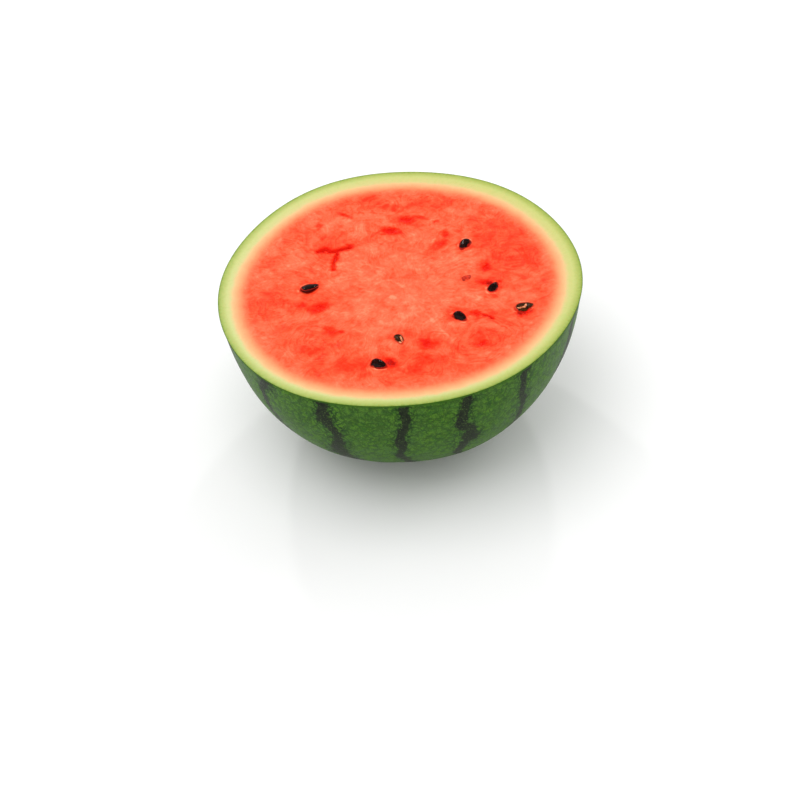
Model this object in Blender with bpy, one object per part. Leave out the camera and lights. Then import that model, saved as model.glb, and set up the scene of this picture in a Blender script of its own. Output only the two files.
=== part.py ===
"""Half of a round watermelon, cut side up, standing on the small flat spot under it.

The half is one solid, rind and flesh together, because it grew as one piece. The seeds that the
knife laid bare are pieces of their own, each in its socket in the flesh.

Metres, +Z up. The origin is on the surface that the half stands on, under the middle of its outline.
Angles are in degrees, around the fruit from +X towards +Y.
"""

import math
from dataclasses import dataclass

import bmesh
import bpy
from mathutils import Euler, Matrix, Vector

# ---- The half ----
RIM_RADIUS = 0.1143  # mean radius of the cut face
HEIGHT = 0.1085  # from the flat spot up to the cut face
FLAT_RADIUS = 0.024  # the flat spot
WALL_TAPER = 0.11  # how far the wall leans in for each metre down from the cut
FULLNESS = 2.5  # 2 makes the outline an ellipse, and more makes its shoulder fuller
# No melon is quite round: how many lobes go around it, their share of the radius, where one points
LOBES = ((2, 0.0056, 9.8), (3, 0.0077, -19.4), (4, 0.0044, 31.2), (6, 0.0039, -7.5))

# ---- The seeds ----
SEED_LENGTH = 0.0125
SEED_WIDTH = 0.0078
SEED_THICKNESS = 0.0028
SEED_POINTEDNESS = 0.28  # how much narrower the pointed end is than the blunt one
SEED_GAP = 0.0003  # between a seed and its socket


@dataclass
class Seed:
    """Where one seed lies, and how much of it the knife took."""

    from_axis: float  # metres from the fruit's axis
    around: float  # where it is around the fruit
    heading: float  # where its pointed end looks
    dip: float = 0.0  # how far its pointed end goes down
    roll: float = 0.0  # about its own length
    rise: float = 0.0  # its middle above the cut face, in metres
    size: float = 1.0  # a share of the full size: the smaller ones ripened less
    sliced: bool = False  # cut off level with the cut face
    colour: str = "seed_black"


SEEDS = (
    Seed(0.0560, 178.0, heading=21, dip=3, roll=-9, rise=0.0004),
    Seed(0.0537, 34.5, heading=240, dip=8, roll=6, size=0.82),
    Seed(0.0603, 346.7, heading=58, dip=-8, roll=14, rise=-0.0002, size=0.72),
    Seed(0.0833, 335.4, heading=13, dip=3, roll=12, rise=-0.0002, sliced=True, colour="seed_cut"),
    Seed(0.0526, 312.8, heading=-50, dip=8, roll=16, rise=-0.0001, size=0.80),
    Seed(0.0537, 267.0, heading=-72, dip=4, roll=20, rise=-0.0002, size=0.76, sliced=True, colour="seed_cut"),
    Seed(0.0763, 257.6, heading=-32, dip=5, roll=10, rise=0.0001, size=0.86),
    Seed(0.0430, 357.0, heading=23, dip=2, roll=20, rise=-0.0001, size=0.68, sliced=True, colour="seed_pale"),
)

# ---- How finely the solids are divided ----
AROUND = 96  # points around the half
DOWN = 22  # rings from the cut face to the flat spot
FACE_RINGS = 5  # rings across the cut face
SEED_AROUND = 16
SEED_ALONG = 10


def clear_scene():
    for thing in list(bpy.data.objects):
        bpy.data.objects.remove(thing, do_unlink=True)


def material(name, colour, roughness):
    made = bpy.data.materials.new(name)
    made.use_nodes = True
    shader = made.node_tree.nodes["Principled BSDF"]
    shader.inputs["Base Color"].default_value = (*colour, 1.0)
    shader.inputs["Roughness"].default_value = roughness
    shader.inputs["Metallic"].default_value = 0.0
    return made


def add_object(name, mesh, parent):
    """Adds an object under parent, with smooth shading that breaks at real edges."""
    mesh.shade_smooth()
    mesh.set_sharp_from_angle(angle=math.radians(35))
    made = bpy.data.objects.new(name, mesh)
    made.parent = parent
    bpy.context.scene.collection.objects.link(made)
    return made


def mesh_from(bm, name):
    bmesh.ops.recalc_face_normals(bm, faces=bm.faces)
    mesh = bpy.data.meshes.new(name)
    bm.to_mesh(mesh)
    bm.free()
    return mesh


def join_rings(bm, upper, lower):
    """Faces between two rings of as many points."""
    count = len(upper)
    for i in range(count):
        j = (i + 1) % count
        bm.faces.new((upper[i], lower[i], lower[j], upper[j]))


def close_ring(bm, ring, middle):
    """A fan of triangles from a ring to one point."""
    tip = bm.verts.new(middle)
    for i, vertex in enumerate(ring):
        bm.faces.new((vertex, ring[(i + 1) % len(ring)], tip))


# ---- The half's shape ----


def lobed(angle):
    """The share of the mean radius that the outline has at an angle in radians."""
    return 1 + sum(share * math.cos(count * (angle - math.radians(at))) for count, share, at in LOBES)


def closing_depth():
    """How deep the outline would close to a point, if the flat spot didn't end it."""
    widest_there = RIM_RADIUS - WALL_TAPER * HEIGHT
    share = 1 - (FLAT_RADIUS / widest_there) ** FULLNESS
    return HEIGHT / share ** (1 / FULLNESS)


def outline():
    """Depth below the cut and mean radius, from the rim down to the edge of the flat spot."""
    deepest = closing_depth()
    last = math.asin((HEIGHT / deepest) ** (FULLNESS / 2))
    points = []
    for step in range(DOWN + 1):
        turn = last * step / DOWN
        depth = deepest * math.sin(turn) ** (2 / FULLNESS)
        radius = (RIM_RADIUS - WALL_TAPER * depth) * math.cos(turn) ** (2 / FULLNESS)
        points.append((depth, radius))
    return points


def ring_points(radius, height):
    turns = [math.tau * i / AROUND for i in range(AROUND)]
    return [Vector((radius * lobed(t) * math.cos(t), radius * lobed(t) * math.sin(t), height)) for t in turns]


def axis_place():
    """Where the fruit's axis stands, so that the origin is under the middle of the outline."""
    rim = ring_points(RIM_RADIUS, 0)
    across = [(min(p[i] for p in rim) + max(p[i] for p in rim)) / 2 for i in (0, 1)]
    return Vector((-across[0], -across[1], 0))


def make_half(parent, sockets):
    bm = bmesh.new()
    wall = [[bm.verts.new(p) for p in ring_points(radius, HEIGHT - depth)] for depth, radius in outline()]
    for upper, lower in zip(wall, wall[1:]):
        join_rings(bm, upper, lower)
    bm.faces.new(wall[-1])
    inner = wall[0]
    for step in range(FACE_RINGS, 0, -1):
        ring = [bm.verts.new(p) for p in ring_points(RIM_RADIUS * step / (FACE_RINGS + 1), HEIGHT)]
        join_rings(bm, ring, inner)
        inner = ring
    close_ring(bm, inner, (0, 0, HEIGHT))
    half = add_object("melon_half", mesh_from(bm, "melon_half"), parent)
    half.data.materials.append(material("melon", (0.80, 0.11, 0.06), 0.35))
    cut = half.modifiers.new("seed_sockets", "BOOLEAN")
    cut.operation = "DIFFERENCE"
    cut.operand_type = "COLLECTION"
    cut.collection = sockets
    return half


# ---- The seeds' shape ----


def seed_shape(size):
    """A flat drop along X, blunt at -X."""
    length = SEED_LENGTH * size / 2
    width = SEED_WIDTH * size / 2
    thickness = SEED_THICKNESS * size / 2
    bm = bmesh.new()
    rings = []
    for step in range(1, SEED_ALONG):
        turn = math.pi * step / SEED_ALONG
        along = -math.cos(turn)
        narrowing = math.sin(turn) * (1 - SEED_POINTEDNESS * along)
        ring = []
        for i in range(SEED_AROUND):
            side = math.tau * i / SEED_AROUND
            ring.append(bm.verts.new((
                length * along,
                width * narrowing * math.cos(side),
                thickness * narrowing * math.sin(side),
            )))
        rings.append(ring)
    for near, far in zip(rings, rings[1:]):
        join_rings(bm, near, far)
    close_ring(bm, rings[0], (-length, 0, 0))
    close_ring(bm, rings[-1], (length, 0, 0))
    bmesh.ops.recalc_face_normals(bm, faces=bm.faces)
    return bm


def socket_shape(size):
    """The seed's shape, larger all round by the gap."""
    bm = seed_shape(size)
    bm.normal_update()
    for vertex in bm.verts:
        vertex.co += vertex.normal * SEED_GAP
    return bm


def seed_place(seed):
    """The seed's place and turn in the fruit's own frame."""
    around = math.radians(seed.around)
    place = Vector((
        seed.from_axis * math.cos(around),
        seed.from_axis * math.sin(around),
        HEIGHT + seed.rise,
    ))
    turn = Euler((math.radians(seed.roll), math.radians(seed.dip), math.radians(seed.heading)))
    return Matrix.Translation(place) @ turn.to_matrix().to_4x4()


def slice_level(bm, place):
    """Takes off what stands above the cut face, and closes the cut."""
    to_seed = place.inverted()
    geometry = bm.verts[:] + bm.edges[:] + bm.faces[:]
    cut = bmesh.ops.bisect_plane(
        bm,
        geom=geometry,
        plane_co=to_seed @ Vector((0, 0, HEIGHT)),
        plane_no=to_seed.to_3x3() @ Vector((0, 0, 1)),
        clear_outer=True,
    )
    edges = [e for e in cut["geom_cut"] if isinstance(e, bmesh.types.BMEdge)]
    bmesh.ops.contextual_create(bm, geom=edges)


def make_seed(number, seed, parent, sockets, colours):
    place = seed_place(seed)
    bm = seed_shape(seed.size)
    if seed.sliced:
        slice_level(bm, place)
    name = f"seed_{number}"
    piece = add_object(name, mesh_from(bm, name), parent)
    piece.matrix_local = place
    piece.data.materials.append(colours[seed.colour])
    cutter_mesh = mesh_from(socket_shape(seed.size), f"{name}_socket")
    cutter = bpy.data.objects.new(f"{name}_socket", cutter_mesh)
    sockets.objects.link(cutter)
    cutter.parent = parent
    cutter.matrix_local = place
    cutter.hide_render = True
    cutter.display_type = "WIRE"


def main():
    clear_scene()
    axis = bpy.data.objects.new("fruit_axis", None)
    axis.location = axis_place()
    bpy.context.scene.collection.objects.link(axis)
    sockets = bpy.data.collections.new("seed_sockets")
    bpy.context.scene.collection.children.link(sockets)
    colours = {
        "seed_black": material("seed_black", (0.012, 0.008, 0.006), 0.25),
        "seed_cut": material("seed_cut", (0.16, 0.07, 0.02), 0.40),
        "seed_pale": material("seed_pale", (0.45, 0.12, 0.05), 0.45),
    }
    for number, seed in enumerate(SEEDS, start=1):
        make_seed(number, seed, axis, sockets, colours)
    make_half(axis, sockets)


main()
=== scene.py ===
"""The looks of half a watermelon, cut side up: its wet flesh, pale edge, striped skin and seeds.

Metres, +Z up, in the CAD model's frame. Places on the cut face are in millimetres from the fruit's
axis, and angles in degrees from +X towards +Y.
"""

import math
from dataclasses import dataclass

import bmesh
import bpy
import numpy as np
from mathutils import Euler, Matrix, Vector, noise


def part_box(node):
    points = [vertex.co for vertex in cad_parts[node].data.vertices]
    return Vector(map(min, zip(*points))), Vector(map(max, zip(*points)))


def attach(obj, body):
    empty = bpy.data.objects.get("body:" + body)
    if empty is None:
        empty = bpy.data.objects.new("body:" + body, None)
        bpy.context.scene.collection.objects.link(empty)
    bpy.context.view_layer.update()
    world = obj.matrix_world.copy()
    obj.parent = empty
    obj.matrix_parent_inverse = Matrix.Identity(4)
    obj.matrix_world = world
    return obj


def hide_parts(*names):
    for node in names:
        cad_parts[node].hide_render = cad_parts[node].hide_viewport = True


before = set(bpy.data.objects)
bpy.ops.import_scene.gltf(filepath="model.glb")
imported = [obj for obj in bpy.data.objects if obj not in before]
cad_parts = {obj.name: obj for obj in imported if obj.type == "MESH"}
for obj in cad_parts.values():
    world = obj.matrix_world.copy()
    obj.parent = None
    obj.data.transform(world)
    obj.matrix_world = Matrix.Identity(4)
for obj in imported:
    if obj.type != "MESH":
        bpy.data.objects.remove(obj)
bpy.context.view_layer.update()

MM = 0.001

# ---- The half, as the CAD model has it ----
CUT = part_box("melon_half")[1].z  # height of the cut face
RIM_RADIUS = 0.1143  # mean radius of the cut face
FLAT_RADIUS = 0.024  # the flat spot
WALL_TAPER = 0.11  # how far the wall leans in for each metre down from the cut
FULLNESS = 2.5  # 2 makes the outline an ellipse, and more makes its shoulder fuller
# How many lobes go around it, their share of the radius, where one points
LOBES = ((2, 0.0056, 9.8), (3, 0.0077, -19.4), (4, 0.0044, 31.2), (6, 0.0039, -7.5))

# ---- The seeds, as the CAD model has them ----
SEED_LENGTH = 0.0125
SEED_WIDTH = 0.0078
SEED_THICKNESS = 0.0028
SEED_POINTEDNESS = 0.28
SEED_GAP = 0.0003


@dataclass
class Seed:
    """Where one seed lies, and how much of it the knife took."""

    from_axis: float  # metres from the fruit's axis
    around: float  # where it is around the fruit
    heading: float  # where its pointed end looks
    dip: float = 0.0  # how far its pointed end goes down
    roll: float = 0.0  # about its own length
    rise: float = 0.0  # its middle above the cut face, in metres
    size: float = 1.0  # a share of the full size
    sliced: bool = False  # cut off level with the cut face
    slot: str = "seed_black"


SEEDS = (
    Seed(0.0560, 178.0, heading=21, dip=3, roll=-9, rise=0.0004),
    Seed(0.0537, 34.5, heading=240, dip=8, roll=6, size=0.82),
    Seed(0.0603, 346.7, heading=58, dip=-8, roll=14, rise=-0.0002, size=0.72),
    Seed(0.0833, 335.4, heading=13, dip=3, roll=12, rise=-0.0002, sliced=True, slot="seed_cut"),
    Seed(0.0526, 312.8, heading=-50, dip=8, roll=16, rise=-0.0001, size=0.80),
    Seed(0.0537, 267.0, heading=-72, dip=4, roll=20, rise=-0.0002, size=0.76, sliced=True, slot="seed_cut"),
    Seed(0.0763, 257.6, heading=-32, dip=5, roll=10, rise=0.0001, size=0.86),
    Seed(0.0430, 357.0, heading=23, dip=2, roll=20, rise=-0.0001, size=0.68, sliced=True, slot="seed_pale"),
)


@dataclass
class Kernel:
    """Some of a sliced seed's kernel, in millimetres from the seed's middle: place and half sizes."""

    x: float
    y: float
    long: float
    wide: float
    heading: float


KERNELS = {  # for each sliced seed's number
    4: (
        Kernel(-2.5, -0.9, 2.1, 0.75, 3),
        Kernel(0.6, 0.3, 1.9, 0.85, 70),
        Kernel(-0.6, -0.5, 1.3, 0.7, 20),
    ),
    6: (
        Kernel(1.25, -0.3, 3.2, 0.55, -80),
        Kernel(0.5, -3.0, 1.2, 0.5, -40),
    ),
}


# ================================ Numbers and noise ================================


def linear(red, green, blue):
    """A colour given as 0 to 255 on a screen, as the linear values that shaders take."""
    parts = [c / 255 for c in (red, green, blue)]
    parts = [c / 12.92 if c <= 0.04045 else ((c + 0.055) / 1.055) ** 2.4 for c in parts]
    return (*parts, 1.0)


def ease(low, high, x):
    """0 below low, 1 above high, smooth between. low may be the larger."""
    t = np.clip((x - low) / (high - low), 0.0, 1.0)
    return t * t * (3 - 2 * t)


def lattice_noise(x, y, seed, period=256):
    """Smooth noise from -1 to 1 with one feature per unit. It repeats along x after period."""
    values = np.random.default_rng(seed).uniform(-1, 1, (period, 256))
    x0, y0 = np.floor(x), np.floor(y)
    u, v = x - x0, y - y0
    u, v = u**3 * (u * (6 * u - 15) + 10), v**3 * (v * (6 * v - 15) + 10)
    i, j = x0.astype(int) % period, y0.astype(int) % 256
    i1, j1 = (i + 1) % period, (j + 1) % 256
    near = values[i, j] * (1 - u) + values[i1, j] * u
    far = values[i, j1] * (1 - u) + values[i1, j1] * u
    return near * (1 - v) + far * v


def fractal_noise(x, y, seed, octaves=3):
    """Lattice noise with finer noise on top of it."""
    total = np.zeros_like(x)
    for octave in range(octaves):
        total += lattice_noise(x * 2**octave, y * 2**octave, seed + octave) * 0.55**octave
    return total


# ================================ The half's shape ================================


def lobed(angle):
    """The share of the mean radius that the outline has at an angle in radians."""
    return 1 + sum(share * np.cos(count * (angle - math.radians(at))) for count, share, at in LOBES)


def axis_place():
    """Where the fruit's axis stands in the CAD model: its outline's box is centred on the origin."""
    turns = np.linspace(0, math.tau, 97)[:-1]
    radius = RIM_RADIUS * lobed(turns)
    x, y = radius * np.cos(turns), radius * np.sin(turns)
    return Vector((-(x.min() + x.max()) / 2, -(y.min() + y.max()) / 2, 0.0))


AXIS = axis_place()


def outline(steps):
    """Depth below the cut and mean radius, from the rim to the edge of the flat spot."""
    widest_there = RIM_RADIUS - WALL_TAPER * CUT
    deepest = CUT / (1 - (FLAT_RADIUS / widest_there) ** FULLNESS) ** (1 / FULLNESS)
    last = math.asin((CUT / deepest) ** (FULLNESS / 2))
    turn = last * np.linspace(0, 1, steps + 1)
    depth = deepest * np.sin(turn) ** (2 / FULLNESS)
    radius = (RIM_RADIUS - WALL_TAPER * depth) * np.cos(turn) ** (2 / FULLNESS)
    return depth, radius


# ================================ What is on the cut face ================================
# All places in millimetres from the fruit's axis.

HEART = (-4.0, -14.0)  # where the fibres run out from

# Whorls of fibre, where the seeds hung: middle x, y and radius
WHORLS = (
    (-10, 79, 20),
    (73, 14, 23),
    (-80, -11, 18),
    (-54, -52, 24),
    (47, -63, 27),
    (-70, 48, 15),
    (-33, 76, 12),
    (30, 57, 9),
    (48, 49, 12),
    (9, -79, 17),
    (64, 62, 14),
    (18, 82, 12),
)


@dataclass
class Pit:
    """A hollow that the knife opened: where it is, half its length and width, and its depth."""

    x: float
    y: float
    long: float
    wide: float
    heading: float
    depth: float


PITS = (
    Pit(-3.0, 52, 4.6, 2.8, -12, 1.5),
    Pit(9.5, 62, 3.4, 2.6, -20, 1.2),
    Pit(17, 63, 4.0, 1.2, -20, 0.7),
    Pit(28, 57, 1.6, 1.3, 30, 0.7),
    Pit(33, 43.5, 1.5, 2.6, 0, 0.8),
    Pit(28, 33, 4.0, 2.6, 25, 0.15),
    Pit(55.5, 6.5, 2.0, 3.6, -15, 0.9),
    Pit(-48, 64, 1.6, 2.2, 0, 0.5),
    Pit(-31, 72, 3.4, 1.1, -35, 0.8),
    Pit(-62, -14, 2.4, 1.5, 30, 0.25),
    Pit(-50, -17.5, 4.0, 2.6, 15, 1.0),
    Pit(-44, -40, 3.4, 1.6, -35, 0.45),
    Pit(-38, -42, 1.2, 1.0, 0, 0.7),
    Pit(14.5, -61, 4.6, 2.8, -25, 0.8),
    Pit(47, -64.5, 2.8, 1.6, 25, 0.8),
    Pit(46, -36.5, 2.6, 1.9, -25, 1.2),
    Pit(50.5, -39, 1.6, 1.1, -40, 0.9),
    Pit(56.6, -9.8, 4.8, 1.8, -24, 1.7),
    Pit(60.8, -10.2, 2.6, 1.2, 35, 1.0),
    Pit(75, -40, 3.4, 2.2, 20, 0.9),
    Pit(-9.3, -73.3, 3.0, 2.0, -55, 1.2),
)

# Tears in the flesh: points along each, half its width and its depth
TEARS = (
    (((-49.5, 37.6), (-45, 39.0), (-41.5, 36.6), (-38, 36.6), (-34, 38.2), (-29.5, 39.2)), 1.25, 1.7),
    (((-37.5, 36.5), (-38.2, 31.0), (-40.2, 25.5), (-40.6, 18.5)), 0.9, 1.4),
    (((48, -37), (52, -39.5), (55.5, -43)), 0.45, 0.8),
)

# Where the flesh is a deeper red: middle x, y, half length, half width, heading, strength
DEEP_RED = (
    (-8, 82, 25, 11, 4, 0.58),
    (-36, 78, 18, 8, 25, 0.20),
    (26, 78, 20, 9, -20, 0.45),
    (62, 44, 26, 17, -50, 0.80),
    (75, 13, 18, 21, 0, 0.96),
    (86, -28, 18, 9, 70, 0.55),
    (50, -62, 26, 19, 45, 0.68),
    (10, -78, 26, 14, 5, 0.70),
    (-30, -72, 20, 13, -25, 0.65),
    (-58, -54, 24, 17, -45, 0.70),
    (-82, -10, 16, 17, 90, 0.80),
    (-62, 9, 14, 10, 80, 0.42),
    (-64, 52, 18, 9, 45, 0.40),
    (-80, 30, 14, 7, 75, 0.25),
    (-40, 38, 16, 9, 10, 0.60),
    (-46, 46, 12, 8, 60, 0.35),
    (11, 62, 14, 7, -8, 0.65),
    (-4, 52, 10, 6, 0, 0.65),
    (29, 34, 8, 8, 40, 0.45),
    (-54, -16, 16, 8, 5, 0.85),
    (-44, -40, 13, 7, -15, 0.55),
    (14, -60, 13, 8, 15, 0.65),
    (52, -38, 20, 5, -3, 0.70),
    (57, 4, 7, 12, 0, 0.45),
    (55, -7, 10, 4, -15, 0.55),
    (76, -40, 9, 6, 10, 0.85),
    (1.5, -54, 2.6, 6, 0, 0.75),
    (-9, -72, 6, 6, 0, 0.75),
    (55, -9, 8, 4, -20, 0.75),
    (5, 12, 14, 10, 0, 0.12),
)

# Paler marks around the heart: points along each, half its width and its strength
PALE_MARKS = (
    (((-4.5, -14), (-3.5, -14.5)), 1.5, 0.50),
    (((-16, -1), (-11, 2.5), (-4, 2.0), (2.5, -5)), 1.0, 0.30),
    (((5, -11), (19, -40), (35, -70)), 0.8, 0.24),
    (((-9, 6), (-22, 26), (-28, 34)), 0.9, 0.18),
)


def local(x, y, at_x, at_y, heading):
    """Places seen from a point, with u along heading and v across it."""
    turn = math.radians(heading)
    dx, dy = x - at_x, y - at_y
    return dx * math.cos(turn) + dy * math.sin(turn), dy * math.cos(turn) - dx * math.sin(turn)


def distance_to_line(x, y, points):
    """How far each place is from a line through points."""
    best = np.full_like(x, np.inf)
    for (ax, ay), (bx, by) in zip(points, points[1:]):
        run = (bx - ax) ** 2 + (by - ay) ** 2
        t = np.clip(((x - ax) * (bx - ax) + (y - ay) * (by - ay)) / run, 0, 1)
        best = np.minimum(best, np.hypot(x - ax - t * (bx - ax), y - ay - t * (by - ay)))
    return best


def hollows(x, y):
    """How deep the pits and tears are at each place, in millimetres, and how red they make it."""
    depth, redness = np.zeros_like(x), np.zeros_like(x)
    ragged = fractal_noise(x / 2.2, y / 2.2, 11) + 0.5 * lattice_noise(x / 0.9, y / 0.9, 15)
    for pit in PITS:
        u, v = local(x, y, pit.x, pit.y, pit.heading)
        away = np.hypot(u / pit.long, v / pit.wide) + 0.38 * ragged
        depth = np.maximum(depth, 0.7 * pit.depth * ease(1.3, 0.1, away))
        redness = np.maximum(redness, min(1.0, 0.38 + 0.45 * pit.depth) * ease(2.3, 0.55, away))
    for points, wide, deep in TEARS:
        away = distance_to_line(x, y, points) / wide + 0.45 * ragged
        depth = np.maximum(depth, 0.8 * deep * ease(1.5, 0.0, away))
        redness = np.maximum(redness, ease(3.4, 0.4, away))
    return depth, redness


def deep_red(x, y):
    """How much deeper than usual the red is at each place, before the fine pattern."""
    wander_x = x + 5 * lattice_noise(x / 14, y / 14, 21)
    wander_y = y + 5 * lattice_noise(x / 14, y / 14, 22)
    total = np.zeros_like(x)
    for at_x, at_y, long, wide, heading, strength in DEEP_RED:
        u, v = local(wander_x, wander_y, at_x, at_y, heading)
        total = 1 - (1 - total) * (1 - strength * np.exp(-((u / long) ** 2 + (v / wide) ** 2) * 1.1))
    return total


def seed_turn(seed):
    """The seed's turn in the fruit's own frame."""
    return Euler((math.radians(seed.roll), math.radians(seed.dip), math.radians(seed.heading)))


def seed_middle(seed):
    """The seed's middle, from the fruit's axis at the height of the cut."""
    around = math.radians(seed.around)
    return Vector((seed.from_axis * math.cos(around), seed.from_axis * math.sin(around), seed.rise))


def seed_heights(x, y, seed, gap):
    """Heights of a seed's top and underside at each place, swollen by gap, in metres from the cut.
    Beside the seed both are far down."""
    turn = np.array(seed_turn(seed).to_matrix())
    middle = seed_middle(seed)
    half = np.array((SEED_LENGTH, SEED_WIDTH, SEED_THICKNESS)) * seed.size / 2 + gap
    beside = np.stack([x - middle.x, y - middle.y, np.zeros_like(x)], -1) @ turn
    upwards = turn[2]
    narrowing = 1 - SEED_POINTEDNESS * np.clip(beside[:, 0] / half[0], -1, 1)
    size = np.stack([np.full_like(x, half[0]), half[1] * narrowing, half[2] * narrowing], -1)
    a = ((upwards / size) ** 2).sum(-1)
    b = (upwards * beside / size**2).sum(-1)
    c = ((beside / size) ** 2).sum(-1) - 1
    inside = b * b - a * c
    root = np.sqrt(np.maximum(inside, 0))
    top = np.where(inside > 0, middle.z + (root - b) / a, -1.0)
    under = np.where(inside > 0, middle.z - (root + b) / a, -1.0)
    return top, under


# Dark red spots in the flesh, most of them in pits: middle x, y, radius and strength
DARK_SPOTS = (
    (79.8, -37.4, 1.9, 0.65),
    (73.0, -40.0, 2.7, 0.85),
    (-9.6, -74.0, 2.6, 0.60),
    (56.6, -10.0, 2.4, 0.60),
)

# How dark each kind of seed makes the flesh beside it
SEED_STAIN = {"seed_black": 1.0, "seed_cut": 0.6, "seed_pale": 0.12}
# How dark the painted shade along the tears is
TEAR_SHADE = 0.30


def along_seed(x, y, seed):
    """Places in millimetres from a seed's middle, with u towards its pointed end and v across it."""
    middle = seed_middle(seed) / MM
    return local(x, y, middle.x, middle.y, seed.heading)


def outside_seed(x, y, seed):
    """How far each place is outside a seed's outline, in millimetres. It is negative inside."""
    u, v = along_seed(x, y, seed)
    long, wide = SEED_LENGTH / MM * seed.size / 2, SEED_WIDTH / MM * seed.size / 2
    narrowing = 1 - SEED_POINTEDNESS * np.clip(u / long, -1, 1)
    return (np.hypot(u / long, v / (wide * narrowing)) - 1) * wide


def towards_tip(x, y, seed):
    """Where each place is along a seed: -1 at its blunt end and 1 at its pointed end."""
    return along_seed(x, y, seed)[0] / (SEED_LENGTH / MM * seed.size / 2)


def around_seeds(x, y):
    """Beside the seeds: how far the juice reddens the flesh; how dark a seed stains it, with the dark
    spots and the painted shade along the tears; and how much painted highlight it has, a pale wet edge."""
    juicy, stain_and_shade, pale = np.zeros_like(x), np.zeros_like(x), np.zeros_like(x)
    wander = lattice_noise(x / 2.5, y / 2.5, 31)
    for seed in SEEDS:
        outside = outside_seed(x, y, seed)
        strength = SEED_STAIN[seed.slot]
        juicy = np.maximum(juicy, max(0.35, strength) * ease(5.0, 0.6, outside + 1.6 * wander))
        stain_and_shade = np.maximum(stain_and_shade, strength * ease(0.75, -0.25, outside + 0.35 * wander))
        # Painted highlight: a pale, wet-looking ring 0.2 to 1.9 mm outside each seed, in patches
        edge = ease(0.2, 0.8, outside) * ease(1.9, 1.0, outside)
        pale = np.maximum(pale, strength * edge * ease(0.0, 0.35, lattice_noise(x / 3.4, y / 3.4, 32)))
    ragged = fractal_noise(x / 1.8, y / 1.8, 33, 2)
    for at_x, at_y, radius, strength in DARK_SPOTS:
        away = np.hypot(x - at_x, y - at_y) / radius + 0.55 * ragged
        stain_and_shade = np.maximum(stain_and_shade, strength * ease(1.4, 0.2, away))
    # Painted shade: a dark red line down each tear, set 0.3 mm towards -Y
    for points, wide, _ in TEARS:
        away = distance_to_line(x, y + 0.3, points) / wide + 0.4 * ragged
        stain_and_shade = np.maximum(stain_and_shade, TEAR_SHADE * ease(0.9, 0.0, away))
    return juicy, stain_and_shade, pale


def pale_marks(x, y):
    """How strong the paler marks are at each place."""
    total = np.zeros_like(x)
    ragged = fractal_noise(x / 3.0, y / 3.0, 35, 2)
    for points, wide, strength in PALE_MARKS:
        away = distance_to_line(x, y, points) / wide + 0.5 * ragged
        total = np.maximum(total, strength * ease(1.7, 0.2, away))
    return total


# ================================ The half's mesh ================================

FINE = 512  # points around the rim
FACE_STEP = 1.0  # millimetres between the rings of the cut face
FINER = 3  # extra points along each edge near the seeds, pits and tears
EDGE = 0.4  # millimetres that the knife's edge is rounded by
SCAR_DEPTH = 1.5  # millimetres
STRIPES = 16
STRIPE_AT = -26.5  # where one of the dark stripes comes down from the rim

# How many millimetres of each kind of seed the flesh covers: all round, and more at the pointed end
LAP = {"seed_black": 0.20, "seed_cut": 0.40, "seed_pale": 0.60}
TIP_LAP = {"seed_black": 1.3, "seed_cut": 0.6, "seed_pale": 0.6}
BARE_TIP_SIZE = 0.95  # seeds this big keep their pointed end bare
FILM = 0.00012  # thickness of that cover, in metres
CUT_FILM = 0.00010  # its height over a sliced seed
BURIED = 0.00003  # a seed is buried where it is this far inside the flesh


def ring_sizes(radius_mm):
    """Points around a ring of the cut face: fewer towards the middle."""
    if radius_mm > 38:
        return FINE
    return FINE // 2 if radius_mm > 15 else FINE // 4


def turns(count):
    """The angles of evenly spaced points around a ring."""
    return np.arange(count) * math.tau / count


def face_rings():
    """Rings of the cut face from the middle to just inside the rim: each its points' x, y from the axis."""
    rim = RIM_RADIUS / MM - EDGE
    steps = round(rim / FACE_STEP)
    rings = []
    for step in range(1, steps + 1):
        radius = rim * step / steps
        angle = turns(ring_sizes(radius))
        along = radius * (1 + (lobed(angle) - 1) * ease(0, rim, np.full_like(angle, radius)))
        rings.append((along * np.cos(angle), along * np.sin(angle)))
    return rings


def face_relief(x, y):
    """Height of the cut face at each place, in metres from the knife's plane."""
    angle, radius = np.arctan2(y, x), np.hypot(x, y)
    from_skin = RIM_RADIUS / MM * lobed(angle) - radius
    flesh = ease(11, 22, from_skin)
    stroke_x, stroke_y = local(x, y, 0, 0, 24)
    knife = 0.22 * lattice_noise(x / 38, y / 38, 41) + 0.07 * lattice_noise(stroke_x / 90, stroke_y / 6, 42)
    grain = 0.085 * fractal_noise(x / 1.9, y / 1.9, 43, 2)
    grain += 0.10 * fractal_noise(x / 5.5, y / 5.5, 44, 2)
    out = np.hypot(x - HEART[0], y - HEART[1])
    way = np.arctan2(y - HEART[1], x - HEART[0]) / math.tau * 128
    fibres = 0.10 * lattice_noise(way, out / 16, 45, 128) * ease(6, 18, out)
    depth, _ = hollows(x, y)
    height = knife * ease(0, 8, from_skin) - 0.15 * flesh + (grain + fibres) * flesh - depth
    height *= MM
    ragged = lattice_noise(x / 1.7, y / 1.7, 46)
    for seed in SEEDS:
        top, under = seed_heights(x * MM, y * MM, seed, SEED_GAP)
        seed_top, seed_under = seed_heights(x * MM, y * MM, seed, BURIED)
        over, _ = seed_heights(x * MM, y * MM, seed, FILM)
        if seed.sliced:
            over = np.minimum(over, CUT_FILM)
        in_socket = (top > height) & (under < height)
        buried = (seed_top < height) | (seed_under > height)
        lap = LAP[seed.slot]
        if seed.size < BARE_TIP_SIZE:
            lap = lap + TIP_LAP[seed.slot] * ease(0.45, 0.95, towards_tip(x, y, seed))
        film = (outside_seed(x, y, seed) > -lap - 0.75 * ragged) | buried
        covered = np.maximum(height, over)
        height = np.where(in_socket, np.where(film, covered, under), height)
    return height


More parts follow.
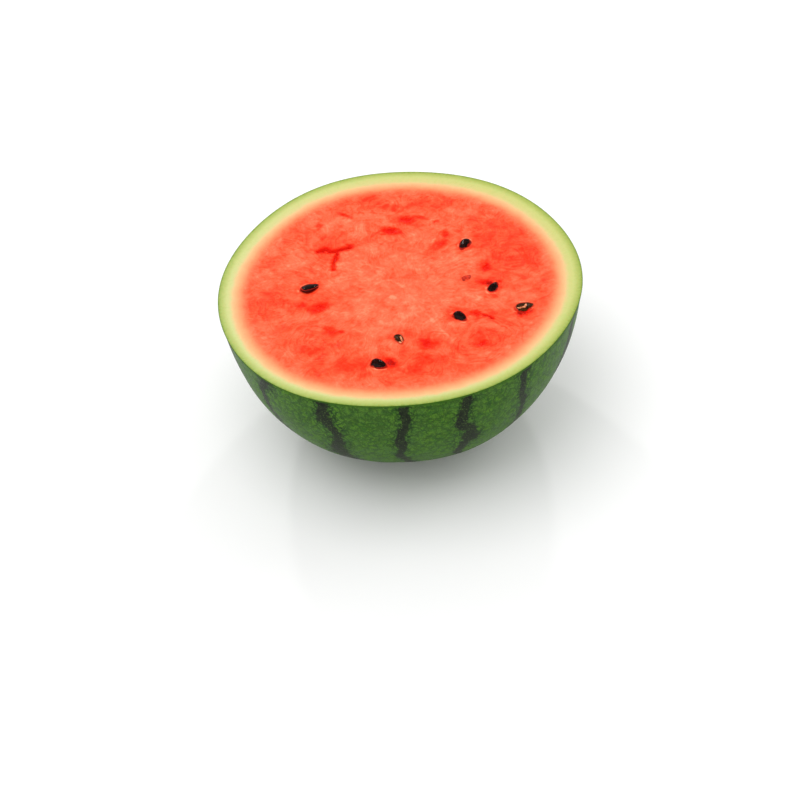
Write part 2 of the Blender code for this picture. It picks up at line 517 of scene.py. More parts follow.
def skin_rings():
    """Rings down the skin, over the flat spot and into the scar in its middle: each x, y, z in metres."""
    depth, radius = outline(60)
    rings = []
    edge = EDGE * MM
    for back, down in ((0.55, 0.0), (0.13, 0.13), (0.0, 0.55)):
        angle = turns(FINE)
        across = (RIM_RADIUS - back * edge - WALL_TAPER * down * edge) * lobed(angle)
        rings.append((across * np.cos(angle), across * np.sin(angle), np.full(FINE, CUT - down * edge)))
    for step, (deep, mean) in enumerate(zip(depth, radius)):
        if deep < 1.5 * edge:
            continue
        angle = turns(FINE if step < 4 else FINE // 2)
        rings.append(bumpy_ring(mean, CUT - deep, angle))
    for share in np.linspace(0.94, 0.04, 18):
        angle = turns(FINE // 2 if share > 0.5 else FINE // 4)
        rise = scar_rise(share * FLAT_RADIUS, angle)
        across = share * FLAT_RADIUS * lobed(angle)
        rings.append((across * np.cos(angle), across * np.sin(angle), rise))
    return rings


def bumpy_ring(mean, height, angle):
    """A ring of the skin with the slight waves of a real one, never outside the CAD outline."""
    arc = angle / math.tau
    level = height / MM
    waves = 0.5 * lattice_noise(arc * 16, level / 34, 51, 16)
    waves += 0.22 * lattice_noise(arc * 48, level / 13, 52, 48)
    furrow = 0.16 * np.cos(angle * STRIPES - math.radians(STRIPE_AT) * STRIPES)
    fade = ease(0, 7, CUT / MM - level) * ease(0.3, 9, level)
    inward = (0.75 - waves + furrow) * fade * 0.45 * MM
    across = mean * lobed(angle) - inward
    return across * np.cos(angle), across * np.sin(angle), np.full_like(angle, height)


def scar_rise(radius, angle):
    """How far the blossom scar is sunk into the flat spot, at a distance from the axis."""
    away = radius / MM
    ragged = 0.5 * lattice_noise(angle / math.tau * 24, np.full_like(angle, away / 2), 61, 24)
    groove = 0.25 * ease(3.0, 5.0, away) * ease(8.5, 6.0, away)
    return (SCAR_DEPTH * ease(6.5, 2.0, away + ragged) + groove) * MM


def bridge(first, first_count, second, second_count):
    """Faces between two rings of vertex numbers, the second with as many points or half as many."""
    faces = []
    if first_count == second_count:
        for i in range(first_count):
            j = (i + 1) % first_count
            faces.append((first + i, second + i, second + j, first + j))
        return faces
    for i in range(second_count):
        j = (i + 1) % second_count
        a, b, c = first + 2 * i, first + 2 * i + 1, first + (2 * i + 2) % first_count
        faces += [(a, second + i, b), (b, second + i, second + j, c)]
    return faces


def half_faces(counts):
    """Faces between the rings, from the middle of the cut face to the middle of the base."""
    starts = np.concatenate([[1], 1 + np.cumsum(counts)]).tolist()
    faces = [(0, 1 + i, 1 + (i + 1) % counts[0]) for i in range(counts[0])]
    for ring in range(len(counts) - 1):
        near, far = (starts[ring], counts[ring]), (starts[ring + 1], counts[ring + 1])
        if counts[ring] >= counts[ring + 1]:
            faces += bridge(*near, *far)
        else:
            faces += [tuple(reversed(f)) for f in bridge(*far, *near)]
    last, ring = starts[-1], starts[-2]
    faces += [(last, ring + (i + 1) % counts[-1], ring + i) for i in range(counts[-1])]
    return faces


def small_things(x, y):
    """True where a seed, a pit or a tear needs a finer mesh."""
    near = np.zeros(len(x), bool)
    for seed in SEEDS:
        u, v = along_seed(x, y, seed)
        near |= np.hypot(u / 8.2, v / 5.9) < seed.size + 0.12
    for pit in PITS:
        u, v = local(x, y, pit.x, pit.y, pit.heading)
        near |= np.hypot(u / (pit.long * 1.2 + 0.6), v / (pit.wide * 1.2 + 0.6)) < 1
    for points, wide, _ in TEARS:
        near |= distance_to_line(x, y, points) < wide * 1.6 + 0.5
    return near


def build_half():
    """The half as one closed mesh, finer near small things.

    Returns it with a mask of the cut face's points, and their x and y in millimetres.
    """
    top, skin = face_rings(), skin_rings()
    points = [np.zeros((1, 3))] + [np.stack([x * MM, y * MM, np.zeros_like(x)], -1) for x, y in top]
    for ring in points:
        ring[:, 2] = CUT
    points += [np.stack(ring, -1) for ring in skin]
    points.append(np.array([[0.0, 0.0, SCAR_DEPTH * MM]]))
    counts = [len(ring[0]) for ring in top + skin]
    flat = bpy.data.meshes.new("melon")
    flat.from_pydata(np.concatenate(points).tolist(), [], half_faces(counts))
    on_face = 1 + sum(len(x) for x, _ in top)
    is_face = flat.attributes.new("on_face", "FLOAT", "POINT")
    is_face.data.foreach_set("value", (np.arange(len(flat.vertices)) < on_face).astype(np.float32))

    bm = bmesh.new()
    bm.from_mesh(flat)
    layer = bm.verts.layers.float["on_face"]
    places = np.array([v.co for v in bm.verts])
    near = small_things(places[:, 0] / MM, places[:, 1] / MM) & (np.arange(len(places)) < on_face)
    edges = [e for e in bm.edges if near[e.verts[0].index] and near[e.verts[1].index]]
    bmesh.ops.subdivide_edges(bm, edges=edges, cuts=FINER, use_grid_fill=True)
    for face in bm.faces:
        face.material_index = 0 if sum(v[layer] for v in face.verts) > 0.5 else 1
    bm.to_mesh(flat)
    bm.free()
    count = len(flat.vertices)
    places, mask = np.zeros(count * 3, np.float32), np.zeros(count, np.float32)
    flat.vertices.foreach_get("co", places)
    flat.attributes["on_face"].data.foreach_get("value", mask)
    flat.attributes.remove(flat.attributes["on_face"])
    places, mask = places.reshape(-1, 3).astype(float), mask > 0.5
    x, y = places[mask, 0] / MM, places[mask, 1] / MM
    places[mask, 2] += face_relief(x, y)
    flat.vertices.foreach_set("co", (places + np.array(AXIS)).ravel())
    flat.shade_smooth()
    flat.update()
    return flat, mask, x, y


# ================================ Fields for the cut face's shader ================================


def store(mesh, mask, name, kind, values):
    """Keeps one number, or three, for each of the cut face's points; the others get 0."""
    wide = 3 if kind == "FLOAT_VECTOR" else 1
    padded = np.zeros((len(mask), wide), np.float32)
    padded[mask] = np.reshape(values, (len(values), wide))
    attribute = mesh.attributes.new(name, kind, "POINT")
    attribute.data.foreach_set("vector" if wide == 3 else "value", padded.ravel())


def fibre_ways(x, y):
    """Coordinates that run with the fibres out of the heart: a unit direction, and how far out."""
    bend = 13 * lattice_noise(x / 34, y / 34, 71), 13 * lattice_noise(x / 34, y / 34, 72)
    curl = 6.0 * lattice_noise(x / 11, y / 11, 73), 6.0 * lattice_noise(x / 11, y / 11, 74)
    wave = 1.6 * lattice_noise(x / 4.5, y / 4.5, 75), 1.6 * lattice_noise(x / 4.5, y / 4.5, 76)
    dx = x + bend[0] + curl[0] + wave[0] - HEART[0]
    dy = y + bend[1] + curl[1] + wave[1] - HEART[1]
    out = np.hypot(dx, dy) + 1e-6
    return np.stack([dx / out, dy / out, out / 10], -1)


def whorl_ways(x, y):
    """Rings around the nearest whorl: how far from its middle, the way round it, and its weight."""
    wobble_x = x + 3.6 * lattice_noise(x / 9, y / 9, 81)
    wobble_y = y + 3.6 * lattice_noise(x / 9, y / 9, 82)
    best = np.full_like(x, np.inf)
    ways = np.zeros((len(x), 3))
    for at_x, at_y, size in WHORLS:
        u, v = local(wobble_x, wobble_y, at_x, at_y, math.degrees(math.atan2(at_y, at_x)))
        away = np.hypot(u * 1.25, v)
        share = away / size
        nearer = share < best
        best = np.where(nearer, share, best)
        found = np.stack([away, np.arctan2(v, u), ease(1.35, 0.7, share)], -1)
        ways = np.where(nearer[:, None], found, ways)
    return ways


def store_fields(mesh, mask, x, y):
    """Keeps what the flesh's shader needs to know about each of the cut face's points."""
    angle, radius = np.arctan2(y, x), np.hypot(x, y)
    from_skin = RIM_RADIUS / MM * lobed(angle) - radius
    thicker = 2.7 * np.cos(angle - math.radians(76)) + 0.15
    _, hollow_red = hollows(x, y)
    juicy, stain_and_shade, pale = around_seeds(x, y)
    red = np.maximum(deep_red(x, y), 0.62 * juicy)
    store(mesh, mask, "from_skin", "FLOAT", from_skin)
    store(mesh, mask, "rind_inside", "FLOAT", from_skin - thicker)
    store(mesh, mask, "deep_red", "FLOAT", red)
    store(mesh, mask, "hollow", "FLOAT", hollow_red)
    store(mesh, mask, "stain_and_shade", "FLOAT", stain_and_shade)
    # pale: the painted highlight beside the seeds, and the real paler marks around the heart
    store(mesh, mask, "pale", "FLOAT", np.maximum(0.8 * pale, pale_marks(x, y)))
    store(mesh, mask, "green_side", "FLOAT", 0.5 + 0.5 * np.cos(angle - math.radians(40)))
    store(mesh, mask, "fibre", "FLOAT_VECTOR", fibre_ways(x, y))
    store(mesh, mask, "whorl", "FLOAT_VECTOR", whorl_ways(x, y))


# ================================ Shader helpers ================================


class Shader:
    """A material being wired up. A value may be a number, a colour or another node's output."""

    def __init__(self, name):
        self.material = bpy.data.materials.new(name)
        self.material.use_nodes = True
        self.tree = self.material.node_tree
        self.principled = self.tree.nodes["Principled BSDF"]

    def put(self, socket, value):
        if isinstance(value, bpy.types.NodeSocket):
            self.tree.links.new(value, socket)
        elif value is not None:
            socket.default_value = value

    def node(self, kind, inputs=(), output=0, **settings):
        made = self.tree.nodes.new(kind)
        for key, value in settings.items():
            setattr(made, key, value)
        for key, value in dict(inputs).items():
            self.put(made.inputs[key], value)
        return made.outputs[output]

    def attribute(self, name, output="Fac"):
        return self.node("ShaderNodeAttribute", attribute_name=name, output=output)

    def math(self, operation, a, b=None):
        made = self.tree.nodes.new("ShaderNodeMath")
        made.operation = operation
        for socket, value in zip(made.inputs, (a, b)):
            self.put(socket, value)
        return made.outputs[0]

    def add(self, *values):
        total = values[0]
        for value in values[1:]:
            total = self.math("ADD", total, value)
        return total

    def times(self, a, b):
        return self.math("MULTIPLY", a, b)

    def swing(self, share, size):
        """A share of 0 to 1 as a number from -size / 2 to size / 2."""
        return self.times(self.math("SUBTRACT", share, 0.5), size)

    def vector(self, operation, a, b):
        return self.node("ShaderNodeVectorMath", {0: a, 1: b}, operation=operation)

    def parts(self, vector):
        made = self.tree.nodes.new("ShaderNodeSeparateXYZ")
        self.put(made.inputs[0], vector)
        return made.outputs

    def place_in_mm(self):
        """Where each point is in the CAD model's frame, in millimetres."""
        return self.vector("MULTIPLY", self.node("ShaderNodeTexCoord", output="Object"), (1000, 1000, 1000))

    def near_middle(self, share, width):
        """1 where a share is a half, down to 0 where it is width away."""
        return self.ease(self.math("ABSOLUTE", self.math("SUBTRACT", share, 0.5)), width, 0.0)

    def ease(self, x, low, high, to_low=0.0, to_high=1.0):
        values = {"Value": x, "From Min": low, "From Max": high, "To Min": to_low, "To Max": to_high}
        return self.node("ShaderNodeMapRange", values, interpolation_type="SMOOTHSTEP")

    def noise(self, place, scale, detail=2.0, roughness=0.5, distortion=0.0):
        values = {
            "Vector": place,
            "Scale": scale,
            "Detail": detail,
            "Roughness": roughness,
            "Distortion": distortion,
        }
        return self.node("ShaderNodeTexNoise", values)

    def mix(self, share, a, b, blend="MIX"):
        made = self.tree.nodes.new("ShaderNodeMix")
        made.data_type = "RGBA"
        made.blend_type = blend
        for socket, value in ((made.inputs[0], share), (made.inputs[6], a), (made.inputs[7], b)):
            self.put(socket, value)
        return made.outputs[2]

    def ramp(self, share, stops):
        """A run of colours: (place from 0 to 1, colour) for each stop."""
        made = self.tree.nodes.new("ShaderNodeValToRGB")
        self.put(made.inputs[0], share)
        elements = made.color_ramp.elements
        for index, (place, colour) in enumerate(stops):
            element = elements[index] if index < 2 else elements.new(place)
            element.position = place
            element.color = colour
        return made.outputs[0]

    def bump(self, height, strength, distance):
        return self.node("ShaderNodeBump", {"Height": height, "Strength": strength, "Distance": distance})

    def finish(self, **inputs):
        for key, value in inputs.items():
            self.put(self.principled.inputs[key.replace("_", " ")], value)
        return self.material


# ================================ Materials ================================


def flesh_material():
    """The cut face: skin line, green and pale rind, and the red flesh with its fibres and juice."""
    s = Shader("watermelon_flesh")
    in_mm = s.place_in_mm()
    fibre = s.attribute("fibre", "Vector")
    whorl = s.attribute("whorl", "Vector")
    whorl_away, whorl_round, whorl_weight = s.parts(whorl)

    # Fibres: noise drawn out along them. A thin pale hair runs where it crosses its middle value.
    streaks = s.noise(s.vector("MULTIPLY", fibre, (22, 22, 0.55)), 1.0, 3, 0.6)
    fine_streaks = s.noise(s.vector("MULTIPLY", fibre, (46, 46, 1.6)), 1.0, 2, 0.6)
    hair = s.near_middle(streaks, 0.035)
    whorl_place = s.node(
        "ShaderNodeCombineXYZ",
        {
            0: s.times(whorl_away, 0.27),
            1: s.times(s.math("SINE", whorl_round), 0.7),
            2: s.math("COSINE", whorl_round),
        },
    )
    rings = s.noise(whorl_place, 1.6, 3, 0.6)
    ring_hair = s.near_middle(rings, 0.05)

    # Cells: the small dashes that the flesh is made of
    cells = s.noise(in_mm, 0.50, 2, 0.5, 0.6)
    mottle = s.noise(in_mm, 0.20, 2, 0.5, 0.8)
    clouds = s.noise(in_mm, 0.10, 2, 0.5, 0.5)
    broad = s.noise(s.vector("MULTIPLY", fibre, (7, 7, 0.30)), 1.0, 2, 0.5)

    deep = s.attribute("deep_red")
    hollow = s.attribute("hollow")
    off_heart = s.ease(s.parts(fibre)[2], 0.8, 4.5, 0.55, 0.95)
    radial_part = s.times(s.math("SUBTRACT", 1.0, whorl_weight), off_heart)
    streak_sum = s.add(
        s.swing(streaks, s.times(radial_part, 0.48)),
        s.swing(fine_streaks, s.times(radial_part, 0.35)),
        s.swing(broad, s.times(radial_part, 0.30)),
        s.swing(rings, s.times(whorl_weight, 0.74)),
    )
    hairs = s.add(
        s.times(hair, s.times(radial_part, 0.08)),
        s.times(ring_hair, s.times(whorl_weight, 0.09)),
    )
    redness = s.add(
        0.287,
        s.times(deep, 0.40),
        s.times(hollow, 0.58),
        # Paler for the marks around the heart and for the painted highlight beside the seeds
        s.times(s.attribute("pale"), -0.45),
        s.times(streak_sum, 0.85),
        s.swing(cells, s.ease(deep, 0.0, 0.8, 0.34, 0.24)),
        s.swing(mottle, s.ease(deep, 0.0, 0.8, 0.42, 0.22)),
        s.swing(clouds, s.ease(deep, 0.0, 0.8, 0.45, 0.85)),
        s.times(hairs, -1.0),
    )
    flesh = s.ramp(
        redness,
        (
            (0.0, linear(246, 140, 104)),
            (0.22, linear(246, 109, 74)),
            (0.42, linear(246, 83, 48)),
            (0.62, linear(244, 58, 27)),
            (0.82, linear(242, 41, 8)),
            (1.0, linear(226, 22, 1)),
        ),
    )

    # Rind: bands by the distance from the skin, a little uneven
    uneven = s.swing(s.noise(in_mm, 0.12, 3, 0.6), 3.0)
    nicks = s.swing(s.noise(in_mm, 0.45, 3, 0.6), 1.6)
    from_skin = s.attribute("from_skin")
    inside = s.add(s.attribute("rind_inside"), uneven)
    outer_part = s.add(from_skin, s.times(uneven, 0.30), nicks)
    green = s.ramp(
        s.times(outer_part, 1 / 16),
        (
            (0.0, linear(102, 132, 44)),
            (0.035, linear(136, 156, 72)),
            (0.10, linear(161, 177, 95)),
            (0.20, linear(178, 188, 110)),
            (0.36, linear(199, 203, 136)),
            (0.60, linear(211, 202, 143)),
            (1.0, linear(220, 195, 140)),
        ),
    )
    veins = s.noise(s.vector("MULTIPLY", fibre, (60, 60, 0.8)), 1.0, 2, 0.5)
    green = s.mix(s.ease(veins, 0.45, 0.75, 0.0, 0.28), green, linear(182, 198, 116))
    green = s.mix(s.times(s.attribute("green_side"), 0.9), green, (0.93, 0.92, 0.70, 1.0), "MULTIPLY")
    warm = s.ramp(
        s.times(s.math("SUBTRACT", inside, 8.0), 1 / 13),
        (
            (0.0, linear(220, 195, 140)),
            (0.22, linear(236, 178, 126)),
            (0.45, linear(244, 154, 106)),
            (0.70, linear(246, 131, 88)),
            (1.0, linear(246, 110, 72)),
        ),
    )
    rind = s.mix(s.ease(inside, 7.0, 11.0), green, warm)
    colour = s.mix(s.ease(inside, 13.0, 22.0), rind, flesh)
    # Dark red from the seeds' stains and the dark spots, and painted shade along the tears
    colour = s.mix(s.times(s.attribute("stain_and_shade"), 0.9), colour, linear(138, 3, 0))

    wet = s.noise(in_mm, 0.45, 3, 0.6)
    grain = s.add(s.times(cells, 0.6), s.times(streaks, 0.5), s.times(s.noise(in_mm, 1.6, 2, 0.6), 0.35))
    in_flesh = s.ease(inside, 12.0, 20.0, 0.15, 1.0)
    return s.finish(
        Base_Color=colour,
        Roughness=s.ease(wet, 0.35, 0.65, 0.24, 0.46),
        Normal=s.bump(s.times(grain, in_flesh), 0.45, 0.0004),
        Specular_IOR_Level=0.05,
        Subsurface_Weight=0.10,
        Subsurface_Radius=(1.0, 0.28, 0.14),
        Subsurface_Scale=0.003,
    )


def skin_material():
    """The rind's outside: mottled green with netting, dark ragged stripes, and a scar underneath."""
    s = Shader("watermelon_skin")
    place = s.node("ShaderNodeTexCoord", output="Object")
    from_axis = s.vector("SUBTRACT", place, tuple(AXIS))
    in_mm = s.vector("MULTIPLY", from_axis, (1000, 1000, 1000))
    x, y, z = s.parts(in_mm)
    angle = s.math("ARCTAN2", y, x)
    radius = s.math("SQRT", s.add(s.times(x, x), s.times(y, y)))

    # How far each point is from the nearest stripe, along the skin
    sway = s.swing(s.noise(in_mm, 0.022, 2, 0.5), 0.34)
    turn = s.math("SUBTRACT", s.add(angle, sway), math.radians(STRIPE_AT))
    share = s.math("FRACT", s.add(s.times(turn, STRIPES / math.tau), 0.5))
    aside = s.math("ABSOLUTE", s.math("SUBTRACT", share, 0.5))
    across = s.times(s.times(aside, math.tau / STRIPES), radius)
    ragged = s.swing(s.noise(in_mm, 0.16, 4, 0.68), 9.0)
    teeth = s.swing(s.noise(in_mm, 0.55, 3, 0.6), 3.2)
    reach = s.add(across, ragged, teeth)
    half_width = s.ease(radius, 15, 100, 1.2, 3.4)
    past = s.math("SUBTRACT", reach, half_width)
    stripe = s.ease(past, 0.9, -0.7)
    fringe = s.ease(past, 7.0, 0.0)

    # Netting: veins between small cells, denser beside the stripes
    warp = s.node("ShaderNodeTexNoise", {"Vector": in_mm, "Scale": 0.20, "Detail": 3.0}, output="Color")
    shift = s.vector("MULTIPLY", s.vector("SUBTRACT", warp, (0.5, 0.5, 0.5)), (9, 9, 9))
    tall = s.vector("MULTIPLY", s.vector("ADD", in_mm, shift), (1.0, 1.0, 0.62))
    net, fine_net = (
        s.node("ShaderNodeTexVoronoi", {"Vector": tall, "Scale": scale}, feature="DISTANCE_TO_EDGE")
        for scale in (0.21, 0.48)
    )
    veins = s.math("MAXIMUM", s.ease(net, 0.16, 0.02), s.times(s.ease(fine_net, 0.16, 0.02), 0.6))
    mottle = s.noise(in_mm, 0.33, 4, 0.65)
    blotch = s.noise(in_mm, 0.06, 2, 0.5)

    ground = s.mix(s.ease(mottle, 0.34, 0.66), linear(37, 87, 7), linear(82, 126, 28))
    ground = s.mix(s.ease(blotch, 0.35, 0.7, 0.0, 0.45), ground, linear(72, 110, 44))
    dark_net = s.times(veins, s.ease(fringe, 0.0, 1.0, 0.60, 1.0))
    ground = s.mix(dark_net, ground, linear(20, 50, 10))
    dark = s.mix(s.ease(mottle, 0.35, 0.7), linear(9, 20, 4), linear(34, 46, 24))
    colour = s.mix(stripe, ground, dark)
    specks = s.ease(s.noise(in_mm, 1.3, 1, 0.5), 0.62, 0.72, 0.0, 0.5)
    colour = s.mix(specks, colour, linear(106, 140, 66))

    # The knife's edge shows a strong dark green, and the blossom scar is dry and brown
    rim = CUT / MM
    under_rim = s.ease(s.add(z, s.swing(mottle, 2.0)), rim - 2.2, rim - 0.3, 0.0, 0.85)
    colour = s.mix(under_rim, colour, linear(54, 92, 16))
    scar = s.ease(s.add(radius, s.swing(mottle, 4.0)), 6.0, 4.2)
    low = s.ease(z, 4.0, 2.0)
    colour = s.mix(s.times(scar, low), colour, linear(128, 104, 72))
    pale_base = s.times(s.ease(radius, 62.0, 24.0), s.ease(z, 40.0, 4.0))
    colour = s.mix(s.times(pale_base, 0.30), colour, linear(168, 176, 112))

    fine = s.noise(in_mm, 1.6, 3, 0.6)
    bumps = s.add(s.times(mottle, 0.8), s.times(fine, 0.25), s.times(veins, -0.12))
    return s.finish(
        Base_Color=colour,
        Roughness=s.ease(mottle, 0.3, 0.7, 0.36, 0.50),
        Normal=s.bump(bumps, 0.30, 0.0005),
        Specular_IOR_Level=0.07,
    )


def seed_material():
    """Whole ripe seeds: nearly black, redder at the margin, glossy with juice."""
    s = Shader("seed_black_wet")
    in_mm = s.place_in_mm()
    mottle = s.noise(in_mm, 0.9, 3, 0.6)
    margin = s.attribute("margin")
    colour = s.mix(s.ease(mottle, 0.4, 0.7), linear(9, 2, 1), linear(46, 13, 7))
    at_margin = s.ease(s.add(margin, s.times(mottle, 0.5)), 0.35, 0.95, 0.0, 0.9)
    colour = s.mix(at_margin, colour, linear(74, 8, 4))
    pits = s.add(s.noise(in_mm, 2.4, 2, 0.5), s.times(s.noise(in_mm, 0.7, 2, 0.5), 2.0))
    return s.finish(
        Base_Color=colour,
        Roughness=s.ease(mottle, 0.3, 0.7, 0.05, 0.13),
        Normal=s.bump(pits, 0.14, 0.0002),
        Specular_IOR_Level=0.05,
    )


def coat_material():
    """The broken coat of a sliced seed: dark and olive brown."""
    s = Shader("seed_coat_cut")
    in_mm = s.place_in_mm()
    mottle = s.noise(in_mm, 0.8, 3, 0.65)
    colour = s.mix(s.ease(mottle, 0.4, 0.62), linear(26, 8, 3), linear(74, 40, 8))
    return s.finish(Base_Color=colour, Roughness=0.20, Specular_IOR_Level=0.06)


def kernel_material():
    """What is left of a sliced seed's kernel: cream to tan."""
    s = Shader("seed_kernel")
    in_mm = s.place_in_mm()
    mottle = s.noise(in_mm, 0.55, 3, 0.6)
    colour = s.ramp(
        mottle,
        ((0.34, linear(150, 70, 30)), (0.48, linear(214, 122, 78)), (0.68, linear(240, 172, 128))),
    )
    return s.finish(Base_Color=colour, Roughness=0.30, Specular_IOR_Level=0.10)


def unripe_material():
    """The unripe seed: a soft brownish trace, hardly darker than the flesh."""
    s = Shader("seed_unripe")
    in_mm = s.place_in_mm()
    mottle = s.noise(in_mm, 0.5, 3, 0.6)
    colour = s.ramp(mottle, ((0.40, linear(158, 30, 14)), (0.62, linear(214, 54, 30))))
    return s.finish(Base_Color=colour, Roughness=0.35, Specular_IOR_Level=0.07)


# ================================ Seeds ================================


SEED_POINTS = 40  # along each seed, and around it
LUMP_HEIGHT = 0.28  # half the height of the kernel's lumps, in millimetres
LUMP_DEPTH = 0.00008  # their middle below the cut, in metres


def seed_surface(size):
    """A drop along X, blunt at -X, with a slight rim around its edge."""
    half = [d * size / 2 for d in (SEED_LENGTH, SEED_WIDTH, SEED_THICKNESS)]
    bm = bmesh.new()
    margin = bm.verts.layers.float.new("margin")
    rings = []
    for step in range(1, SEED_POINTS):
        turn = math.pi * step / SEED_POINTS
        along = -math.cos(turn)
        narrowing = math.sin(turn) ** 0.92 * (1 - SEED_POINTEDNESS * along)
        narrowing *= 1 - 0.10 * math.exp(-(((along - 0.86) / 0.10) ** 2))
        ring = []
        for i in range(SEED_POINTS):
            side = math.tau * i / SEED_POINTS
            edge = abs(math.cos(side)) ** 6
            dome = math.sin(side) * (1 - 0.10 * math.exp(-(((abs(math.cos(side)) - 0.80) / 0.12) ** 2)))
            vertex = bm.verts.new((
                half[0] * along,
                half[1] * narrowing * math.cos(side),
                half[2] * min(1.0, narrowing * 1.05) * dome * (1 + 0.12 * edge),
            ))
            vertex[margin] = max(edge, abs(along) ** 8)
            ring.append(vertex)
        rings.append(ring)
    for near, far in zip(rings, rings[1:]):
        for i in range(SEED_POINTS):
            j = (i + 1) % SEED_POINTS
            bm.faces.new((near[i], far[i], far[j], near[j]))
    for ring, end in ((rings[0], -half[0]), (rings[-1], half[0])):
        tip = bm.verts.new((end, 0, 0))
        tip[margin] = 1.0
        for i, vertex in enumerate(ring):
            bm.faces.new((vertex, ring[(i + 1) % SEED_POINTS], tip))
    bmesh.ops.recalc_face_normals(bm, faces=bm.faces)
    bm.normal_update()
    for vertex in bm.verts:
        bumps = noise.noise(vertex.co * 420 + Vector((size * 90, 0, 0)))
        bumps += 0.5 * noise.noise(vertex.co * 1100)
        vertex.co += vertex.normal * bumps * 0.08 * MM
    return bm


def seed_matrix(seed):
    """The seed's place and turn in the CAD model's frame."""
    place = AXIS + Vector((0, 0, CUT)) + seed_middle(seed)
    return Matrix.Translation(place) @ seed_turn(seed).to_matrix().to_4x4()


def slice_off(bm, matrix):
    """Cuts away what is above the cut face, and closes the cut."""
    to_seed = matrix.inverted()
    level = to_seed @ Vector((AXIS.x, AXIS.y, CUT))
    found = bmesh.ops.bisect_plane(
        bm,
        geom=bm.verts[:] + bm.edges[:] + bm.faces[:],
        plane_co=level,
        plane_no=to_seed.to_3x3() @ Vector((0, 0, 1)),
        clear_outer=True,
    )
    edges = [e for e in found["geom_cut"] if isinstance(e, bmesh.types.BMEdge)]
    cap = bmesh.ops.contextual_create(bm, geom=edges)["faces"]
    bmesh.ops.poke(bm, faces=cap)


def kernel_lumps(number, seed):
    """What is left of a sliced seed's kernel: flat rounded lumps on its cut."""
    bm = bmesh.new()
    middle = AXIS + Vector((0, 0, CUT)) + seed_middle(seed)
    for lump in KERNELS[number]:
        lump_x, lump_y = middle.x + lump.x * MM, middle.y + lump.y * MM
        place = Matrix.Translation((lump_x, lump_y, CUT - LUMP_DEPTH))
        turn = Matrix.Rotation(math.radians(lump.heading), 4, "Z")
        size = Matrix.Diagonal((lump.long * MM, lump.wide * MM, LUMP_HEIGHT * MM, 1))
        shape = place @ turn @ size
        made = bmesh.ops.create_uvsphere(bm, u_segments=28, v_segments=14, radius=1, matrix=shape)
        for vertex in made["verts"]:
            away = vertex.co - Vector((place.translation.x, place.translation.y, vertex.co.z))
            vertex.co += away * 0.5 * noise.noise(vertex.co * 900)
    return bm


def add_piece(name, mesh, nodes, materials):
    """Adds a visible piece that stands in for CAD nodes."""
    piece = bpy.data.objects.new(name, mesh)
    bpy.context.scene.collection.objects.link(piece)
    for material in materials:
        mesh.materials.append(material)
    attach(piece, "root")
    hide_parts(*nodes)


def add_seed_piece(name, bm, matrix, node, material):
    """Adds one piece of a seed, from a mesh in the seed's own frame."""
    mesh = bpy.data.meshes.new(name)
    bm.to_mesh(mesh)
    bm.free()
    mesh.transform(matrix)
    mesh.shade_smooth()
    mesh.set_sharp_from_angle(angle=math.radians(50))
    add_piece(name, mesh, [node], [material])


def make_seeds():
    black, coat, kernel, unripe = seed_material(), coat_material(), kernel_material(), unripe_material()
    for number, seed in enumerate(SEEDS, start=1):
        node = f"seed_{number}"
        matrix = seed_matrix(seed)
        bm = seed_surface(seed.size)
        if not seed.sliced:
            add_seed_piece(f"{node}_whole", bm, matrix, node, black)
            continue
        slice_off(bm, matrix)
        if seed.slot == "seed_pale":
            add_seed_piece(f"{node}_unripe", bm, matrix, node, unripe)
            continue
        add_seed_piece(f"{node}_coat", bm, matrix, node, coat)
        lumps = kernel_lumps(number, seed)
        add_seed_piece(f"{node}_kernel", lumps, Matrix.Identity(4), node, kernel)


# ================================ Studio ================================

FLOOR_SIZE = 14.0
FLOOR_DROP = 0.0002  # so that the flat spot and the floor aren't in one plane
LIT_PLACE = Vector((0, 0, 0.06))  # what every light looks at
WORLD_STRENGTH = 0.80
CAMERA_AWAY = 1.2  # from the middle of the cut face
CAMERA_ABOVE = 40.39  # degrees above the cut face
CAMERA_LENS = 85.56  # millimetres
CAMERA_ROLL = 5.76  # degrees
CAMERA_AIM = (-0.0058, -0.107)  # from the fruit's axis, at the height of the cut


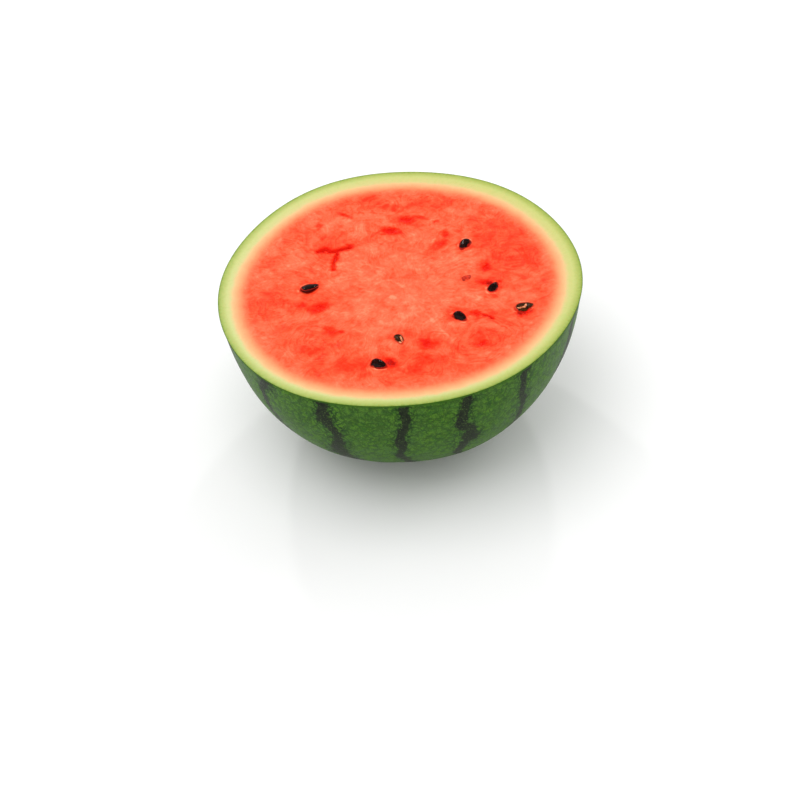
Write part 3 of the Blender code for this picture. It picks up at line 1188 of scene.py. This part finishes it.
def make_camera():
    data = bpy.data.cameras.new("camera")
    data.lens = CAMERA_LENS
    data.sensor_width = 36.0
    camera = bpy.data.objects.new("camera", data)
    above = math.radians(CAMERA_ABOVE)
    middle = AXIS + Vector((0, 0, CUT))
    camera.location = middle + CAMERA_AWAY * Vector((0, -math.cos(above), math.sin(above)))
    aim = middle + Vector((*CAMERA_AIM, 0)) - camera.location
    roll = Matrix.Rotation(math.radians(-CAMERA_ROLL), 4, "Z")
    look = aim.to_track_quat("-Z", "Y").to_matrix().to_4x4()
    camera.matrix_world = Matrix.Translation(camera.location) @ look @ roll
    bpy.context.scene.collection.objects.link(camera)
    bpy.context.scene.camera = camera


def make_floor():
    mesh = bpy.data.meshes.new("floor")
    half = FLOOR_SIZE / 2
    corners = [(-half, -half, 0), (half, -half, 0), (half, half, 0), (-half, half, 0)]
    mesh.from_pydata(corners, [], [(0, 1, 2, 3)])
    floor = bpy.data.objects.new("floor", mesh)
    s = Shader("floor_paper")
    white = (0.95, 0.95, 0.95, 1.0)
    mesh.materials.append(s.finish(Base_Color=white, Roughness=0.9, Specular_IOR_Level=0.1))
    floor.location.z = -FLOOR_DROP
    bpy.context.scene.collection.objects.link(floor)


def add_light(name, place, size, power):
    data = bpy.data.lights.new(name, "AREA")
    data.shape = "DISK"
    data.size = size
    data.energy = power
    light = bpy.data.objects.new(name, data)
    light.location = place
    light.rotation_mode = "QUATERNION"
    light.rotation_quaternion = (LIT_PLACE - light.location).to_track_quat("-Z", "Y")
    bpy.context.scene.collection.objects.link(light)


def make_studio():
    make_floor()
    world = bpy.data.worlds.new("studio")
    world.use_nodes = True
    background = world.node_tree.nodes["Background"]
    background.inputs["Color"].default_value = (1.0, 1.0, 1.0, 1.0)
    background.inputs["Strength"].default_value = WORLD_STRENGTH
    bpy.context.scene.world = world
    bpy.context.scene.view_settings.view_transform = "Standard"
    add_light("key", Vector((-0.40, -0.30, 1.55)), 1.4, 9.7)
    add_light("glint_left", Vector((-0.45, 1.30, 1.10)), 0.13, 2.9)
    add_light("glint_right", Vector((0.45, 1.30, 1.10)), 0.13, 2.9)
    add_light("side", Vector((1.2, 0.35, 0.9)), 0.7, 2.2)
    make_camera()


# ================================ All of it ================================


def main():
    mesh, mask, x, y = build_half()
    store_fields(mesh, mask, x, y)
    add_piece("melon", mesh, ["melon_half"], [flesh_material(), skin_material()])
    make_seeds()
    make_studio()


main()
